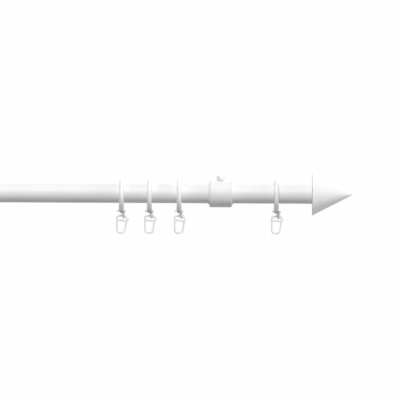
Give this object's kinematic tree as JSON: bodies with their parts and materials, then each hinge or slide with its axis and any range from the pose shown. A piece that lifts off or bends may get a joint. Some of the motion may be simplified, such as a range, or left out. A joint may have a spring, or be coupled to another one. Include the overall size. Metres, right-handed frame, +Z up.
{
  "type": "curtain rod",
  "caption": "Wall-mounted curtain rod with cone finials, collar brackets with clamp screws, and sliding rings with swivel eyes and closed pleat hooks.",
  "frame": {"origin": "halfway between the tapped holes of the two brackets, in the plane of the wall, level with the rod's axis", "axes": "+X along the rod to the right as seen from the room, +Y into the wall, +Z up"},
  "size_m": [1.0854, 0.1026, 0.0652],
  "materials": {
    "white_enamel": "white powder coat, satin",
    "ring_plastic": "white moulded plastic, half gloss",
    "hook_plastic": "white moulded plastic, slightly milky",
    "insert_plastic": "natural white plastic",
    "zinc_steel": "zinc plated"
  },
  "bodies": {
    "brackets": {"bracket_arm_left": "white_enamel", "bracket_arm_right": "white_enamel", "bracket_collar_left": "white_enamel", "bracket_collar_right": "white_enamel", "arm_grub_screws": "zinc_steel"},
    "clamp_screw_left": {"clamp_screw_left": "white_enamel"},
    "clamp_screw_right": {"clamp_screw_right": "white_enamel"},
    "rod": {"rod_tube": "white_enamel", "end_insert_left": "insert_plastic", "end_insert_right": "insert_plastic"},
    "finial_left": {"finial_cone_left": "white_enamel", "finial_pin_left": "zinc_steel"},
    "finial_right": {"finial_cone_right": "white_enamel", "finial_pin_right": "zinc_steel"},
    "ring_1": {"ring_1": "ring_plastic"},
    "ring_eye_1": {"ring_eye_1": "hook_plastic"},
    "pleat_hook_1": {"pleat_hook_1": "hook_plastic"},
    "ring_2": {"ring_2": "ring_plastic"},
    "ring_eye_2": {"ring_eye_2": "hook_plastic"},
    "pleat_hook_2": {"pleat_hook_2": "hook_plastic"},
    "ring_3": {"ring_3": "ring_plastic"},
    "ring_eye_3": {"ring_eye_3": "hook_plastic"},
    "pleat_hook_3": {"pleat_hook_3": "hook_plastic"},
    "ring_4": {"ring_4": "ring_plastic"},
    "ring_eye_4": {"ring_eye_4": "hook_plastic"},
    "pleat_hook_4": {"pleat_hook_4": "hook_plastic"},
    "ring_5": {"ring_5": "ring_plastic"},
    "ring_eye_5": {"ring_eye_5": "hook_plastic"},
    "pleat_hook_5": {"pleat_hook_5": "hook_plastic"},
    "ring_6": {"ring_6": "ring_plastic"},
    "ring_eye_6": {"ring_eye_6": "hook_plastic"},
    "pleat_hook_6": {"pleat_hook_6": "hook_plastic"},
    "ring_7": {"ring_7": "ring_plastic"},
    "ring_eye_7": {"ring_eye_7": "hook_plastic"},
    "pleat_hook_7": {"pleat_hook_7": "hook_plastic"},
    "ring_8": {"ring_8": "ring_plastic"},
    "ring_eye_8": {"ring_eye_8": "hook_plastic"},
    "pleat_hook_8": {"pleat_hook_8": "hook_plastic"}
  },
  "joints": [
    {"name": "rod_slide", "type": "slide", "parent": "brackets", "child": "rod", "axis": [1, 0, 0], "range_m": [-0.012, 0.012]},
    {"name": "clamp_screw_left_turn", "type": "hinge", "parent": "brackets", "child": "clamp_screw_left", "pos_m": [-0.4024, -0.08, 0.0142], "axis": [0, 0, 1], "range_deg": [0, 450]},
    {"name": "finial_left_pull", "type": "slide", "parent": "rod", "child": "finial_left", "axis": [-1, 0, 0], "range_m": [0, 0.03]},
    {"name": "clamp_screw_right_turn", "type": "hinge", "parent": "brackets", "child": "clamp_screw_right", "pos_m": [0.4024, -0.08, 0.0142], "axis": [0, 0, 1], "range_deg": [0, 450]},
    {"name": "finial_right_pull", "type": "slide", "parent": "rod", "child": "finial_right", "axis": [1, 0, 0], "range_m": [0, 0.03]},
    {"name": "ring_1_slide", "type": "slide", "parent": "rod", "child": "ring_1", "axis": [1, 0, 0], "range_m": [-0.0287, 0.0304]},
    {"name": "ring_eye_1_swivel", "type": "hinge", "parent": "ring_1", "child": "ring_eye_1", "pos_m": [-0.4618, -0.08, -0.01935], "axis": [0, 0, 1], "continuous": true},
    {"name": "pleat_hook_1_swing", "type": "hinge", "parent": "ring_eye_1", "child": "pleat_hook_1", "pos_m": [-0.4618, -0.08, -0.0237], "axis": [1, 0, 0], "range_deg": [-60, 60]},
    {"name": "ring_2_slide", "type": "slide", "parent": "rod", "child": "ring_2", "axis": [1, 0, 0], "range_m": [-0.0153, 0.00715]},
    {"name": "ring_eye_2_swivel", "type": "hinge", "parent": "ring_2", "child": "ring_eye_2", "pos_m": [-0.3581, -0.08, -0.01935], "axis": [0, 0, 1], "continuous": true},
    {"name": "pleat_hook_2_swing", "type": "hinge", "parent": "ring_eye_2", "child": "pleat_hook_2", "pos_m": [-0.3581, -0.08, -0.0237], "axis": [1, 0, 0], "range_deg": [-60, 60]},
    {"name": "ring_3_slide", "type": "slide", "parent": "rod", "child": "ring_3", "axis": [1, 0, 0], "range_m": [-0.00715, 0.00625]},
    {"name": "ring_eye_3_swivel", "type": "hinge", "parent": "ring_3", "child": "ring_eye_3", "pos_m": [-0.3264, -0.08, -0.01935], "axis": [0, 0, 1], "continuous": true},
    {"name": "pleat_hook_3_swing", "type": "hinge", "parent": "ring_eye_3", "child": "pleat_hook_3", "pos_m": [-0.3264, -0.08, -0.0237], "axis": [1, 0, 0], "range_deg": [-60, 60]},
    {"name": "ring_4_slide", "type": "slide", "parent": "rod", "child": "ring_4", "axis": [1, 0, 0], "range_m": [-0.00625, 0.2878]},
    {"name": "ring_eye_4_swivel", "type": "hinge", "parent": "ring_4", "child": "ring_eye_4", "pos_m": [-0.2965, -0.08, -0.01935], "axis": [0, 0, 1], "continuous": true},
    {"name": "pleat_hook_4_swing", "type": "hinge", "parent": "ring_eye_4", "child": "pleat_hook_4", "pos_m": [-0.2965, -0.08, -0.0237], "axis": [1, 0, 0], "range_deg": [-60, 60]},
    {"name": "ring_5_slide", "type": "slide", "parent": "rod", "child": "ring_5", "axis": [1, 0, 0], "range_m": [-0.2878, 0.00625]},
    {"name": "ring_eye_5_swivel", "type": "hinge", "parent": "ring_5", "child": "ring_eye_5", "pos_m": [0.2965, -0.08, -0.01935], "axis": [0, 0, 1], "continuous": true},
    {"name": "pleat_hook_5_swing", "type": "hinge", "parent": "ring_eye_5", "child": "pleat_hook_5", "pos_m": [0.2965, -0.08, -0.0237], "axis": [1, 0, 0], "range_deg": [-60, 60]},
    {"name": "ring_6_slide", "type": "slide", "parent": "rod", "child": "ring_6", "axis": [1, 0, 0], "range_m": [-0.00625, 0.00715]},
    {"name": "ring_eye_6_swivel", "type": "hinge", "parent": "ring_6", "child": "ring_eye_6", "pos_m": [0.3264, -0.08, -0.01935], "axis": [0, 0, 1], "continuous": true},
    {"name": "pleat_hook_6_swing", "type": "hinge", "parent": "ring_eye_6", "child": "pleat_hook_6", "pos_m": [0.3264, -0.08, -0.0237], "axis": [1, 0, 0], "range_deg": [-60, 60]},
    {"name": "ring_7_slide", "type": "slide", "parent": "rod", "child": "ring_7", "axis": [1, 0, 0], "range_m": [-0.00715, 0.0153]},
    {"name": "ring_eye_7_swivel", "type": "hinge", "parent": "ring_7", "child": "ring_eye_7", "pos_m": [0.3581, -0.08, -0.01935], "axis": [0, 0, 1], "continuous": true},
    {"name": "pleat_hook_7_swing", "type": "hinge", "parent": "ring_eye_7", "child": "pleat_hook_7", "pos_m": [0.3581, -0.08, -0.0237], "axis": [1, 0, 0], "range_deg": [-60, 60]},
    {"name": "ring_8_slide", "type": "slide", "parent": "rod", "child": "ring_8", "axis": [1, 0, 0], "range_m": [-0.0304, 0.0287]},
    {"name": "ring_eye_8_swivel", "type": "hinge", "parent": "ring_8", "child": "ring_eye_8", "pos_m": [0.4618, -0.08, -0.01935], "axis": [0, 0, 1], "continuous": true},
    {"name": "pleat_hook_8_swing", "type": "hinge", "parent": "ring_eye_8", "child": "pleat_hook_8", "pos_m": [0.4618, -0.08, -0.0237], "axis": [1, 0, 0], "range_deg": [-60, 60]}
  ]
}
